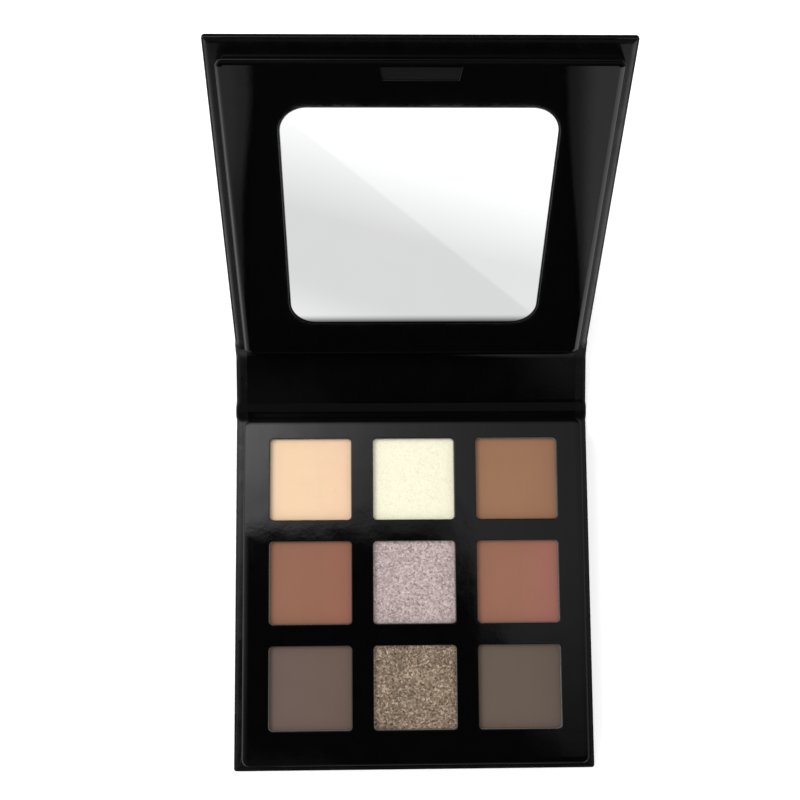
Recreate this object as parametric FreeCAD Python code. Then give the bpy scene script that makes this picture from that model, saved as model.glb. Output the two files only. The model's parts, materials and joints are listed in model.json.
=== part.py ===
import FreeCAD, Part
import math
import os

# Book-style eyeshadow palette, in millimetres.
#
# Three wrapped boards (base, spine and lid) are joined by two flexible grooves, like the
# cover of a hardback book. The base board carries a tray with nine square pans of pressed
# powder. The lid board carries a frame with a mirror let into it.
#
# Frame: X to the right, Y to the back, Z up. The origin is the middle of the underside.
# The spine and the lid are built flat in frames of their own, whose origin is on their
# hinge axis, whose Y runs away from that axis and whose Z points to the inner face.
# turn_spine and turn_lid then put them where they stand when the palette is open.

# ---- Driving dimensions ----

COVER_WIDTH = 112.0          # all three boards, across
COVER_DEPTH = 110.0          # base board and lid board, front to back
COVER_THICK = 2.0            # board with its wrap and lining
WRAP_THICK = 0.2             # laminated paper round the outside
LINING_THICK = 0.2           # paper on the inner faces
TURN_IN = 14.0               # how far the wrap is folded over onto the inner face
COVER_CORNER = 0.8           # rounding of a board's corners, seen from above
GROOVE = 4.0                 # flexible gap between two boards
SPINE_HEIGHT = 17.0          # the spine board, between its two grooves

SPINE_ANGLE = 12.0           # spine above the horizontal, as it stands open
LID_ANGLE = 54.0             # lid above the horizontal, as it stands open

BLOCK_SIZE = 105.0           # tray and mirror frame, square
BLOCK_FRONT_MARGIN = 3.2     # board showing in front of the tray and past the mirror frame
BLOCK_CORNER = 2.2           # rounding of their corners, seen from above
BLOCK_EDGE = 1.0             # rounding of their outer edges

TRAY_HEIGHT = 11.3           # above the base board
TRAY_WALL = 1.2
TRAY_TOP = 1.0
TRAY_FIT = 0.1               # gap between the tray's shell and what is inside it

WINDOW = 25.2                # square window over each pan
WINDOW_CORNER = 1.2
PITCH_X = 31.9               # from one window to the next, across
PITCH_Y = 31.7               # from one window to the next, front to back
WINDOWS_Y = 2.8              # middle of the nine windows

PAN = 26.0                   # square pan, outside
PAN_CORNER = 1.6
PAN_WALL = 0.4
PAN_HEIGHT = 4.3
POCKET_FIT = 0.25            # gap between a pan and the wall of its pocket
POWDER_BELOW_RIM = 0.5
PAD_SIZE = 16.0              # adhesive pad under a pan
PAD_THICK = 0.2

BASE_CARD_THICK = 0.8
HOLDER_HEIGHT = 4.6          # die-cut board with the nine pockets

FRAME_THICK = 5.5            # mirror frame, above the lid board
MIRROR_WIDTH = 74.4
MIRROR_HEIGHT = 77.0
MIRROR_THICK = 1.8
MIRROR_CORNER = 7.6
MIRROR_FROM_HINGE = 17.6     # from the lid's hinge axis to the mirror's lower edge
MIRROR_SUNK = 0.3            # mirror face below the frame's face
MIRROR_FIT = 0.3             # gap round the mirror
TAPE_THICK = 0.5
TAPE_INSET = 4.0

MAGNET_LENGTH = 20.0
MAGNET_WIDTH = 4.0
MAGNET_THICK = 2.4
MAGNET_FIT = 0.1
PLATE_LENGTH = 20.8          # long side of the closure plate, towards the lid's free edge
PLATE_TAPER = 0.7            # how far each end leans in, from the long side to the short one
PLATE_WIDTH = 3.7
PLATE_THICK = 0.5
PLATE_SUNK = 0.1
PLATE_FROM_EDGE = 7.2        # middle of the plate to the lid board's free edge

# ---- Worked-out places ----

FRONT_Y = -COVER_DEPTH / 2
BACK_Y = COVER_DEPTH / 2
BLOCK_FRONT_Y = FRONT_Y + BLOCK_FRONT_MARGIN
BLOCK_MIDDLE_Y = BLOCK_FRONT_Y + BLOCK_SIZE / 2
TRAY_TOP_Z = COVER_THICK + TRAY_HEIGHT
INNER_SIZE = BLOCK_SIZE - 2 * (TRAY_WALL + TRAY_FIT)
HOLDER_TOP_Z = TRAY_TOP_Z - TRAY_TOP
HOLDER_FLOOR_Z = HOLDER_TOP_Z - HOLDER_HEIGHT
PAN_FLOOR_Z = HOLDER_FLOOR_Z + PAD_THICK

LOWER_HINGE_Y = BACK_Y + GROOVE / 2
HINGE_TO_HINGE = SPINE_HEIGHT + GROOVE
UPPER_HINGE_Y = LOWER_HINGE_Y + HINGE_TO_HINGE * math.cos(math.radians(SPINE_ANGLE))
UPPER_HINGE_Z = HINGE_TO_HINGE * math.sin(math.radians(SPINE_ANGLE))

LID_START = GROOVE / 2
LID_END = LID_START + COVER_DEPTH
FRAME_START = LID_END - BLOCK_FRONT_MARGIN - BLOCK_SIZE
FRAME_MIDDLE = FRAME_START + BLOCK_SIZE / 2
FRAME_FACE = COVER_THICK + FRAME_THICK
MIRROR_MIDDLE = MIRROR_FROM_HINGE + MIRROR_HEIGHT / 2
MIRROR_FACE = FRAME_FACE - MIRROR_SUNK
PLATE_MIDDLE = LID_END - PLATE_FROM_EDGE
MAGNET_Y = LOWER_HINGE_Y - PLATE_MIDDLE      # straight under the plate when closed

COLUMNS = {"left": -1, "centre": 0, "right": 1}
ROWS = {"back": 1, "middle": 0, "front": -1}


# ---- Shapes ----

def slab(width, depth, height, middle_y, z, corner=0.0):
    """A flat block centred on X = 0, with its upright corners rounded."""
    block = Part.makeBox(width, depth, height,
                         FreeCAD.Vector(-width / 2, middle_y - depth / 2, z))
    if corner <= 0:
        return block
    upright = [e for e in block.Edges if abs(e.tangentAt(e.FirstParameter).z) > 0.99]
    return block.makeFillet(corner, upright)


def moved_x(shape, x):
    return shape.translated(FreeCAD.Vector(x, 0, 0))


def round_face_edges(shape, z, radius):
    """Round every edge that lies in the plane at height z."""
    edges = [e for e in shape.Edges
             if abs(e.BoundBox.ZMin - z) < 1e-4 and abs(e.BoundBox.ZMax - z) < 1e-4]
    return shape.makeFillet(radius, edges)


def sheet_profile(points, width):
    """A piece of one cross-section in the YZ plane, extruded across X."""
    corners = [FreeCAD.Vector(-width / 2, y, z) for y, z in points]
    face = Part.Face(Part.makePolygon(corners + corners[:1]))
    return face.extrude(FreeCAD.Vector(width, 0, 0))


def turned(shape, angle, y=0.0, z=0.0):
    """Turn a shape about the X axis, then put its origin at (0, y, z)."""
    copy = shape.copy()
    copy.rotate(FreeCAD.Vector(0, 0, 0), FreeCAD.Vector(1, 0, 0), angle)
    copy.translate(FreeCAD.Vector(0, y, z))
    return copy


def turn_spine(shape):
    return turned(shape, SPINE_ANGLE, LOWER_HINGE_Y, 0.0)


def turn_lid(shape):
    return turned(shape, LID_ANGLE, UPPER_HINGE_Y, UPPER_HINGE_Z)


# ---- Wrapped boards ----
# Each board is a grey core, a wrap that goes round the outside and is folded over onto the
# inner face, and a lining that fills the inner face between the folded edges. The wrap has
# no wall on the sides that meet a groove, because there it runs on into the groove.

def cover_board(start, depth, free_end):
    """The grey core from start to start + depth; free_end is the side with no groove."""
    skin_start = WRAP_THICK if free_end == "start" else LINING_THICK
    skin_end = WRAP_THICK if free_end == "end" else LINING_THICK
    core_depth = depth - skin_start - skin_end
    middle = start + skin_start + core_depth / 2
    core_thick = COVER_THICK - WRAP_THICK - LINING_THICK
    return slab(COVER_WIDTH - 2 * WRAP_THICK, core_depth, core_thick, middle, WRAP_THICK)


def lining_gap(start, depth, free_end):
    """The part of the inner face between the folded edges: its start and its depth."""
    gap_start = start + (TURN_IN if free_end == "start" else 0.0)
    gap_end = start + depth - (TURN_IN if free_end == "end" else 0.0)
    return gap_start, gap_end - gap_start


def cover_lining(start, depth, free_end, width):
    gap_start, gap_depth = lining_gap(start, depth, free_end)
    middle = gap_start + gap_depth / 2
    return slab(width, gap_depth, LINING_THICK, middle, COVER_THICK - LINING_THICK)


def cover_wrap(start, depth, free_end, lining_width):
    outside = slab(COVER_WIDTH, depth, COVER_THICK, start + depth / 2, 0.0)
    free_y = {"start": start, "end": start + depth}.get(free_end)
    corners = [e for e in outside.Edges
               if abs(e.tangentAt(e.FirstParameter).z) > 0.99
               and free_y is not None and abs(e.BoundBox.YMin - free_y) < 1e-4]
    if corners:
        outside = outside.makeFillet(COVER_CORNER, corners)
    hollow_start = start + (WRAP_THICK if free_end == "start" else 0.0)
    hollow_end = start + depth - (WRAP_THICK if free_end == "end" else 0.0)
    hollow_depth = hollow_end - hollow_start
    hollow_middle = hollow_start + hollow_depth / 2
    hollow_thick = COVER_THICK - WRAP_THICK - LINING_THICK
    hollow = slab(COVER_WIDTH - 2 * WRAP_THICK, hollow_depth, hollow_thick,
                  hollow_middle, WRAP_THICK)
    gap_start, gap_depth = lining_gap(start, depth, free_end)
    opening = slab(lining_width, gap_depth, LINING_THICK, gap_start + gap_depth / 2,
                   COVER_THICK - LINING_THICK)
    return outside.cut(hollow).cut(opening)


def groove_wrap(bend):
    """Outer paper across a groove, flat for half of it and then turned up by bend."""
    half = GROOVE / 2
    lean = math.radians(bend)
    inner_corner = WRAP_THICK * math.tan(lean / 2)
    points = [(-half, 0.0), (0.0, 0.0)]
    points.append((half * math.cos(lean), half * math.sin(lean)))
    points.append((half * math.cos(lean) - WRAP_THICK * math.sin(lean),
                   half * math.sin(lean) + WRAP_THICK * math.cos(lean)))
    points.append((-inner_corner, WRAP_THICK))
    points.append((-half, WRAP_THICK))
    return sheet_profile(points, COVER_WIDTH)


def groove_lining(bend, width):
    """Inner paper in a groove: down one board's edge, across, and up the other's."""
    half = GROOVE / 2
    lean = math.radians(bend)
    top = WRAP_THICK + LINING_THICK

    def far_side(along, up):
        return (along * math.cos(lean) - up * math.sin(lean),
                along * math.sin(lean) + up * math.cos(lean))

    leg_height = COVER_THICK - LINING_THICK
    points = [(-half - LINING_THICK, WRAP_THICK), (-WRAP_THICK * math.tan(lean / 2), WRAP_THICK)]
    points.append(far_side(half + LINING_THICK, WRAP_THICK))
    points.append(far_side(half + LINING_THICK, leg_height))
    points.append(far_side(half, leg_height))
    points.append(far_side(half, top))
    points.append((-top * math.tan(lean / 2), top))
    points.append((-half, top))
    points.append((-half, leg_height))
    points.append((-half - LINING_THICK, leg_height))
    return sheet_profile(points, width)


# ---- Tray ----

def window_places():
    """Every pan's name and the middle of its window."""
    for row, back in ROWS.items():
        for column, right in COLUMNS.items():
            yield row + "_" + column, right * PITCH_X, WINDOWS_Y + back * PITCH_Y


def tray_cover():
    shell = slab(BLOCK_SIZE, BLOCK_SIZE, TRAY_HEIGHT, BLOCK_MIDDLE_Y, COVER_THICK, BLOCK_CORNER)
    shell = round_face_edges(shell, TRAY_TOP_Z, BLOCK_EDGE)
    inside = slab(BLOCK_SIZE - 2 * TRAY_WALL, BLOCK_SIZE - 2 * TRAY_WALL,
                  TRAY_HEIGHT - TRAY_TOP, BLOCK_MIDDLE_Y, COVER_THICK,
                  BLOCK_CORNER - TRAY_WALL)
    shell = shell.cut(inside)
    for _, x, y in window_places():
        hole = slab(WINDOW, WINDOW, TRAY_TOP, y, HOLDER_TOP_Z, WINDOW_CORNER)
        shell = shell.cut(moved_x(hole, x))
    return shell


def tray_layer(height, z):
    return slab(INNER_SIZE, INNER_SIZE, height, BLOCK_MIDDLE_Y, z, BLOCK_CORNER - TRAY_WALL)


def pan_holder():
    holder = tray_layer(HOLDER_HEIGHT, HOLDER_FLOOR_Z)
    pocket_size = PAN + 2 * POCKET_FIT
    for _, x, y in window_places():
        pocket = slab(pocket_size, pocket_size, HOLDER_HEIGHT, y, HOLDER_FLOOR_Z,
                      PAN_CORNER + POCKET_FIT)
        holder = holder.cut(moved_x(pocket, x))
    slot = slab(MAGNET_LENGTH + 2 * MAGNET_FIT, MAGNET_WIDTH + 2 * MAGNET_FIT, MAGNET_THICK,
                MAGNET_Y, HOLDER_TOP_Z - MAGNET_THICK)
    return holder.cut(slot)


def closure_magnet():
    return slab(MAGNET_LENGTH, MAGNET_WIDTH, MAGNET_THICK, MAGNET_Y,
                HOLDER_TOP_Z - MAGNET_THICK, corner=0.3)


def pan(x, y):
    outside = slab(PAN, PAN, PAN_HEIGHT, y, PAN_FLOOR_Z, PAN_CORNER)
    inside = slab(PAN - 2 * PAN_WALL, PAN - 2 * PAN_WALL, PAN_HEIGHT - PAN_WALL, y,
                  PAN_FLOOR_Z + PAN_WALL, PAN_CORNER - PAN_WALL)
    return moved_x(outside.cut(inside), x)


def powder(x, y):
    depth = PAN_HEIGHT - PAN_WALL - POWDER_BELOW_RIM
    cake = slab(PAN - 2 * PAN_WALL, PAN - 2 * PAN_WALL, depth, y, PAN_FLOOR_Z + PAN_WALL,
                PAN_CORNER - PAN_WALL)
    return moved_x(cake, x)


def adhesive_pads():
    pads = [moved_x(slab(PAD_SIZE, PAD_SIZE, PAD_THICK, y, HOLDER_FLOOR_Z), x)
            for _, x, y in window_places()]
    return Part.makeCompound(pads)


# ---- Lid, in its own flat frame ----

def plate_outline(grow, height, z):
    """The closure plate's shape, or its recess when grow is above zero."""
    half = PLATE_LENGTH / 2 + grow
    short_half = half - PLATE_TAPER
    near_y = PLATE_MIDDLE - PLATE_WIDTH / 2 - grow
    far_y = PLATE_MIDDLE + PLATE_WIDTH / 2 + grow
    corners = [FreeCAD.Vector(-short_half, near_y, z), FreeCAD.Vector(short_half, near_y, z),
               FreeCAD.Vector(half, far_y, z), FreeCAD.Vector(-half, far_y, z)]
    face = Part.Face(Part.makePolygon(corners + corners[:1]))
    return face.extrude(FreeCAD.Vector(0, 0, height))


def mirror_frame():
    frame = slab(BLOCK_SIZE, BLOCK_SIZE, FRAME_THICK, FRAME_MIDDLE, COVER_THICK, BLOCK_CORNER)
    frame = round_face_edges(frame, FRAME_FACE, BLOCK_EDGE)
    opening = slab(MIRROR_WIDTH + 2 * MIRROR_FIT, MIRROR_HEIGHT + 2 * MIRROR_FIT, FRAME_THICK,
                   MIRROR_MIDDLE, COVER_THICK, MIRROR_CORNER + MIRROR_FIT)
    recess_depth = PLATE_SUNK + PLATE_THICK
    recess = plate_outline(0.1, recess_depth, FRAME_FACE - recess_depth)
    return frame.cut(opening).cut(recess)


def mirror():
    return slab(MIRROR_WIDTH, MIRROR_HEIGHT, MIRROR_THICK, MIRROR_MIDDLE,
                MIRROR_FACE - MIRROR_THICK, MIRROR_CORNER)


def mirror_tape():
    return slab(MIRROR_WIDTH - 2 * TAPE_INSET, MIRROR_HEIGHT - 2 * TAPE_INSET, TAPE_THICK,
                MIRROR_MIDDLE, MIRROR_FACE - MIRROR_THICK - TAPE_THICK)


def mirror_backing_board():
    height = MIRROR_FACE - MIRROR_THICK - TAPE_THICK - COVER_THICK
    return slab(MIRROR_WIDTH, MIRROR_HEIGHT, height, MIRROR_MIDDLE, COVER_THICK, MIRROR_CORNER)


# ---- Assembly ----

def base_nodes():
    base = (FRONT_Y, COVER_DEPTH, "start")
    nodes = {
        "base_board": cover_board(*base),
        "base_wrap": cover_wrap(*base, BLOCK_SIZE),
        "base_lining": cover_lining(*base, BLOCK_SIZE),
        "tray_base_card": tray_layer(BASE_CARD_THICK, COVER_THICK),
        "tray_filler_board": tray_layer(HOLDER_FLOOR_Z - COVER_THICK - BASE_CARD_THICK,
                                        COVER_THICK + BASE_CARD_THICK),
        "pan_holder": pan_holder(),
        "pan_adhesive_pads": adhesive_pads(),
        "closure_magnet": closure_magnet(),
        "tray_cover": tray_cover(),
    }
    for place, x, y in window_places():
        nodes["pan_" + place] = pan(x, y)
        nodes["powder_" + place] = powder(x, y)
    return nodes


def spine_nodes():
    spine = (GROOVE / 2, SPINE_HEIGHT, "none")
    nodes = {
        "spine_board": cover_board(*spine),
        "spine_wrap": cover_wrap(*spine, BLOCK_SIZE),
        "spine_lining": cover_lining(*spine, BLOCK_SIZE),
    }
    return {name: turn_spine(shape) for name, shape in nodes.items()}


def lid_nodes():
    lid = (LID_START, COVER_DEPTH, "end")
    nodes = {
        "lid_board": cover_board(*lid),
        "lid_wrap": cover_wrap(*lid, BLOCK_SIZE),
        "lid_lining": cover_lining(*lid, BLOCK_SIZE),
        "mirror_frame": mirror_frame(),
        "mirror_backing_board": mirror_backing_board(),
        "mirror_tape": mirror_tape(),
        "mirror": mirror(),
        "closure_plate": plate_outline(0.0, PLATE_THICK, FRAME_FACE - PLATE_SUNK - PLATE_THICK),
    }
    return {name: turn_lid(shape) for name, shape in nodes.items()}


def groove_nodes():
    lower = (0.0, LOWER_HINGE_Y, 0.0)
    upper = (SPINE_ANGLE, UPPER_HINGE_Y, UPPER_HINGE_Z)
    return {
        "lower_groove_wrap": turned(groove_wrap(SPINE_ANGLE), *lower),
        "lower_groove_lining": turned(groove_lining(SPINE_ANGLE, BLOCK_SIZE), *lower),
        "upper_groove_wrap": turned(groove_wrap(LID_ANGLE - SPINE_ANGLE), *upper),
        "upper_groove_lining": turned(groove_lining(LID_ANGLE - SPINE_ANGLE, BLOCK_SIZE), *upper),
    }


def main():
    os.makedirs("parts", exist_ok=True)
    nodes = {**base_nodes(), **spine_nodes(), **lid_nodes(), **groove_nodes()}
    for name, shape in nodes.items():
        shape.exportStep("parts/" + name + ".step")
        print(name, "valid", shape.isValid(), "solids", len(shape.Solids),
              "volume", round(shape.Volume, 2))


main()
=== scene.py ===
import json
import math

import bmesh
import bpy
from mathutils import Matrix, Vector, noise
from mathutils.geometry import delaunay_2d_cdt

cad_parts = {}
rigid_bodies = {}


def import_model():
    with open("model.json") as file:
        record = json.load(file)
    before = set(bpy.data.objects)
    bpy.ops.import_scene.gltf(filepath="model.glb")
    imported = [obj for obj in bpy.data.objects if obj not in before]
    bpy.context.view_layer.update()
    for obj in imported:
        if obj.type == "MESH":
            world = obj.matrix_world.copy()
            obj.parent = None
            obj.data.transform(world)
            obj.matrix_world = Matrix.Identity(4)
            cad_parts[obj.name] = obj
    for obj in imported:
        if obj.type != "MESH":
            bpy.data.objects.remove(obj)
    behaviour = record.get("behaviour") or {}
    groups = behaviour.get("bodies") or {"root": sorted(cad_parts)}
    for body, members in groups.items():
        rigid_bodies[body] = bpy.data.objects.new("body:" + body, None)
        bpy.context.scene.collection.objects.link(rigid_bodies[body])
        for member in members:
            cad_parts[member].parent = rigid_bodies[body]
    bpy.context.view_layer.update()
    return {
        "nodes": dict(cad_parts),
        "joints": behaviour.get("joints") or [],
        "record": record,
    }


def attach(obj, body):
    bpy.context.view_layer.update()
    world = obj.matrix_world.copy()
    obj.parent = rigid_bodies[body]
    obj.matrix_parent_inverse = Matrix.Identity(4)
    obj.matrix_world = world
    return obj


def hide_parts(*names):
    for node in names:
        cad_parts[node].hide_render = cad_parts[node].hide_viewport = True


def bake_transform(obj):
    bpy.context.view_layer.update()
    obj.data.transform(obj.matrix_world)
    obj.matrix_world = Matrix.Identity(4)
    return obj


# Book-style eyeshadow palette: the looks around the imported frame.
#
# Pieces are drawn in millimetres, each in the flat frame of its own board, and are then put
# where that board stands. In a board's frame X is to the right, Y runs away from the hinge
# axis (or from the middle of the tray, on the base) and Z points to the inner face.

MM = 0.001
AXES = range(3)

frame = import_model()


# ---- Where the boards stand ----

def hinge_point(joint_name):
    """A point on a joint's axis, in metres."""
    joint = next(j for j in frame["joints"] if j["name"] == joint_name)
    return Vector(joint["pos_m"])


def lean_of(node):
    """How far a flat board is turned up from the floor, from its largest face."""
    face = max(frame["nodes"][node].data.polygons, key=lambda polygon: polygon.area)
    return math.atan2(abs(face.normal.y), abs(face.normal.z))


def board_place(joint_name, node):
    """The move from a board's own flat frame, in millimetres, to where it stands."""
    lean = Matrix.Rotation(lean_of(node), 4, "X")
    return Matrix.Translation(hinge_point(joint_name)) @ lean @ Matrix.Scale(MM, 4)


PLACES = {
    "base": Matrix.Scale(MM, 4),
    "spine": board_place("lower_groove_hinge", "spine_lining"),
    "lid": board_place("upper_groove_hinge", "mirror"),
}
LEANS = {"base": 0.0, "spine": lean_of("spine_lining"), "lid": lean_of("mirror")}


def box_of(body, *nodes):
    """Lowest and highest corner of some nodes, in millimetres, in their board's frame."""
    inverse = PLACES[body].inverted()
    points = [inverse @ v.co for node in nodes for v in frame["nodes"][node].data.vertices]
    low = Vector([min(p[i] for p in points) for i in AXES])
    high = Vector([max(p[i] for p in points) for i in AXES])
    return low, high


# ---- Outlines ----

def arc(centre, radius, start, end, steps):
    """Points on an arc, as (x, y); angles in degrees."""
    points = []
    for i in range(steps + 1):
        angle = math.radians(start + (end - start) * i / steps)
        points.append((centre[0] + radius * math.cos(angle), centre[1] + radius * math.sin(angle)))
    return points


def rounded_outline(low, high, corner, steps=7):
    """A rectangle with rounded corners, counter-clockwise from its right side."""
    centres = [(high[0] - corner, high[1] - corner), (low[0] + corner, high[1] - corner),
               (low[0] + corner, low[1] + corner), (high[0] - corner, low[1] + corner)]
    points = []
    for quarter, centre in enumerate(centres):
        points += arc(centre, corner, 90 * quarter, 90 * quarter + 90, steps)
    return points


def grown(low, high, by):
    """A box's two corners, moved out by so much along X and Y."""
    step = Vector((by, by, 0))
    return low - step, high + step


def edge_steps(across, down, steps=7):
    """(inset, drop) pairs over a rounded edge, from the face to the wall."""
    pairs = []
    for i in range(steps + 1):
        angle = math.pi / 2 * i / steps
        pairs.append((across * (1 - math.sin(angle)), down * (1 - math.cos(angle))))
    return pairs


# ---- Mesh pieces ----

def add_ring(bm, outline, z):
    return [bm.verts.new((x, y, z)) for x, y in outline]


def join_rings(bm, first, second, closed=True):
    count = len(first)
    for i in range(count if closed else count - 1):
        j = (i + 1) % count
        bm.faces.new((first[i], first[j], second[j], second[i]))


def join_all(bm, rings, closed=True):
    for first, second in zip(rings, rings[1:]):
        join_rings(bm, first, second, closed)


def fill_between(bm, outer, holes, inner=()):
    """A face inside the outer ring, open where the holes are, through the inner points."""
    rings = [outer] + holes
    verts = [v for ring in rings for v in ring] + list(inner)
    edges = []
    start = 0
    for ring in rings:
        count = len(ring)
        edges += [(start + i, start + (i + 1) % count) for i in range(count)]
        start += count
    flat = [Vector((v.co.x, v.co.y)) for v in verts]
    triangles = delaunay_2d_cdt(flat, edges, [], 0, 1e-7)[2]
    outlines = [[(v.co.x, v.co.y) for v in ring] for ring in holes]
    for triangle in triangles:
        middle = sum((flat[i] for i in triangle), Vector((0, 0))) / 3
        if not any(inside(middle, outline) for outline in outlines):
            bm.faces.new([verts[i] for i in triangle])


def inside(point, outline):
    """Whether a point is inside a closed outline, by counting crossings."""
    crossings = 0
    for (x0, y0), (x1, y1) in zip(outline, outline[1:] + outline[:1]):
        if (y0 > point.y) != (y1 > point.y):
            crossings += point.x < x0 + (point.y - y0) * (x1 - x0) / (y1 - y0)
    return crossings % 2 == 1


def finish_piece(name, bm, body, material, replaced, sharp_angle=35.0):
    """Put a mesh drawn on a board where that board stands, with its material, and hide the nodes it
    replaces.
    """
    bmesh.ops.recalc_face_normals(bm, faces=bm.faces)
    mesh = bpy.data.meshes.new(name)
    bm.to_mesh(mesh)
    bm.free()
    mesh.transform(PLACES[body])
    mesh.shade_smooth()
    mesh.set_sharp_from_angle(angle=math.radians(sharp_angle))
    piece = bpy.data.objects.new(name, mesh)
    bpy.context.scene.collection.objects.link(piece)
    mesh.materials.append(material)
    even = piece.modifiers.new("even_normals", "WEIGHTED_NORMAL")
    even.keep_sharp = True
    even.weight = 80
    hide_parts(*replaced)
    return piece


# ---- Shader helpers ----

def add_node(tree, kind, inputs=None, **settings):
    """A shader node, with its settings and with its inputs given as values or sockets."""
    made = tree.nodes.new(kind)
    for name, value in settings.items():
        setattr(made, name, value)
    for name, value in (inputs or {}).items():
        if isinstance(value, bpy.types.NodeSocket):
            tree.links.new(value, made.inputs[name])
        else:
            made.inputs[name].default_value = value
    return made


def calc(tree, operation, first, second=0.0, third=0.0, clamp=False):
    """One step of arithmetic, on numbers or sockets."""
    made = add_node(tree, "ShaderNodeMath", {0: first, 1: second, 2: third}, operation=operation)
    made.use_clamp = clamp
    return made.outputs[0]


def ramp_between(tree, value, low, high, low_out=0.0, high_out=1.0):
    """A smooth step from low_out to high_out while value goes from low to high."""
    made = add_node(tree, "ShaderNodeMapRange",
                    {"Value": value, "From Min": low, "From Max": high,
                     "To Min": low_out, "To Max": high_out}, interpolation_type="SMOOTHSTEP")
    return made.outputs["Result"]


def mix_colours(tree, amount, first, second):
    made = add_node(tree, "ShaderNodeMix", data_type="RGBA")
    for socket, value in ((0, amount), (6, first), (7, second)):
        if isinstance(value, bpy.types.NodeSocket):
            tree.links.new(value, made.inputs[socket])
        else:
            made.inputs[socket].default_value = value
    return made.outputs[2]


def grain(tree, coords, scale, detail=2.0, roughness=0.5, distortion=0.0):
    """Noise from 0 to 1 around 0.5; scale is in waves per metre."""
    made = add_node(tree, "ShaderNodeTexNoise",
                    {"Vector": coords, "Scale": scale, "Detail": detail,
                     "Roughness": roughness, "Distortion": distortion})
    return made.outputs["Fac"]


def bump(tree, height, distance, normal=None):
    """A normal tilted by the slope of height, which is distance metres from 0 to 1."""
    inputs = {"Height": height, "Distance": distance}
    if normal is not None:
        inputs["Normal"] = normal
    return add_node(tree, "ShaderNodeBump", inputs).outputs["Normal"]


def vector_calc(tree, operation, first, second=None, scale=None):
    """One step of arithmetic on vectors; only SCALE takes a scale."""
    inputs = {0: first}
    if second is not None:
        inputs[1] = second
    if scale is not None:
        inputs["Scale"] = scale
    return add_node(tree, "ShaderNodeVectorMath", inputs, operation=operation).outputs[0]


def brightened(tree, colour, amount):
    made = add_node(tree, "ShaderNodeHueSaturation", {"Color": colour, "Value": amount})
    return made.outputs["Color"]


def new_material(name):
    """An empty material: its tree, its object coordinates in metres, and its output."""
    material = bpy.data.materials.new(name)
    material.use_nodes = True
    tree = material.node_tree
    tree.nodes.clear()
    coords = add_node(tree, "ShaderNodeTexCoord").outputs["Object"]
    output = add_node(tree, "ShaderNodeOutputMaterial")
    return material, tree, coords, output


def surface(tree, output, **inputs):
    """The principled shader, with its inputs named in words joined by underscores."""
    named = {name.replace("_", " "): value for name, value in inputs.items()}
    shader = add_node(tree, "ShaderNodeBsdfPrincipled", named)
    tree.links.new(shader.outputs[0], output.inputs["Surface"])


def rgba(red, green, blue):
    return (red, green, blue, 1.0)


def from_screen(red, green, blue, share=1.0):
    """A colour given as 0 to 255 screen values, as linear light, times share."""
    def linear(value):
        value /= 255
        if value < 0.04045:
            return value / 12.92
        return ((value + 0.055) / 1.055) ** 2.4
    return rgba(*(linear(value) * share for value in (red, green, blue)))


# ---- Materials ----

def gloss_black(name, dark, light, wave, peel, rough):
    """Black film-laminated card: slow waves, fine orange peel and faint handling marks."""
    material, tree, coords, output = new_material(name)
    tone = mix_colours(tree, grain(tree, coords, 240.0, 4.0), rgba(*dark), rgba(*light))
    waves = bump(tree, grain(tree, coords, 95.0, 1.5), wave)
    skin = bump(tree, grain(tree, coords, 850.0, 1.0), peel, waves)
    smears = grain(tree, coords, 160.0, 5.0, 0.6, 0.6)
    fibres = grain(tree, coords, 5200.0, 2.0)
    marks = calc(tree, "MULTIPLY_ADD", fibres, 0.4, smears)
    roughness = ramp_between(tree, marks, 0.45, 1.0, rough * 0.75, rough * 1.5)
    surface(tree, output, Base_Color=tone, Roughness=roughness, IOR=1.5, Normal=skin)
    return material


def matte_powder(name, colour, drift):
    """Finely milled pressed powder: velvety, with a slow drift of tone across the pan."""
    material, tree, coords, output = new_material(name)
    across = add_node(tree, "ShaderNodeTexCoord").outputs["Generated"]
    across_x = add_node(tree, "ShaderNodeSeparateXYZ", {"Vector": across}).outputs["X"]
    drifted = mix_colours(tree, ramp_between(tree, across_x, 0.35, 1.0, 0.0, 1.0), colour, drift)
    clouds = grain(tree, coords, 130.0, 3.0)
    cloudy = brightened(tree, drifted, ramp_between(tree, clouds, 0.3, 0.7, 0.985, 1.015))
    specks = grain(tree, coords, 4200.0, 3.0, 0.65)
    speckled = brightened(tree, cloudy, ramp_between(tree, specks, 0.25, 0.75, 0.96, 1.04))
    pressed = bump(tree, grain(tree, coords, 700.0, 2.0), 6e-6)
    velvet = bump(tree, specks, 1.2e-5, pressed)
    surface(tree, output, Base_Color=speckled, Roughness=0.86, IOR=1.42,
            Specular_IOR_Level=0.25, Sheen_Weight=0.08, Sheen_Roughness=0.5, Normal=velvet)
    return material


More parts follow.
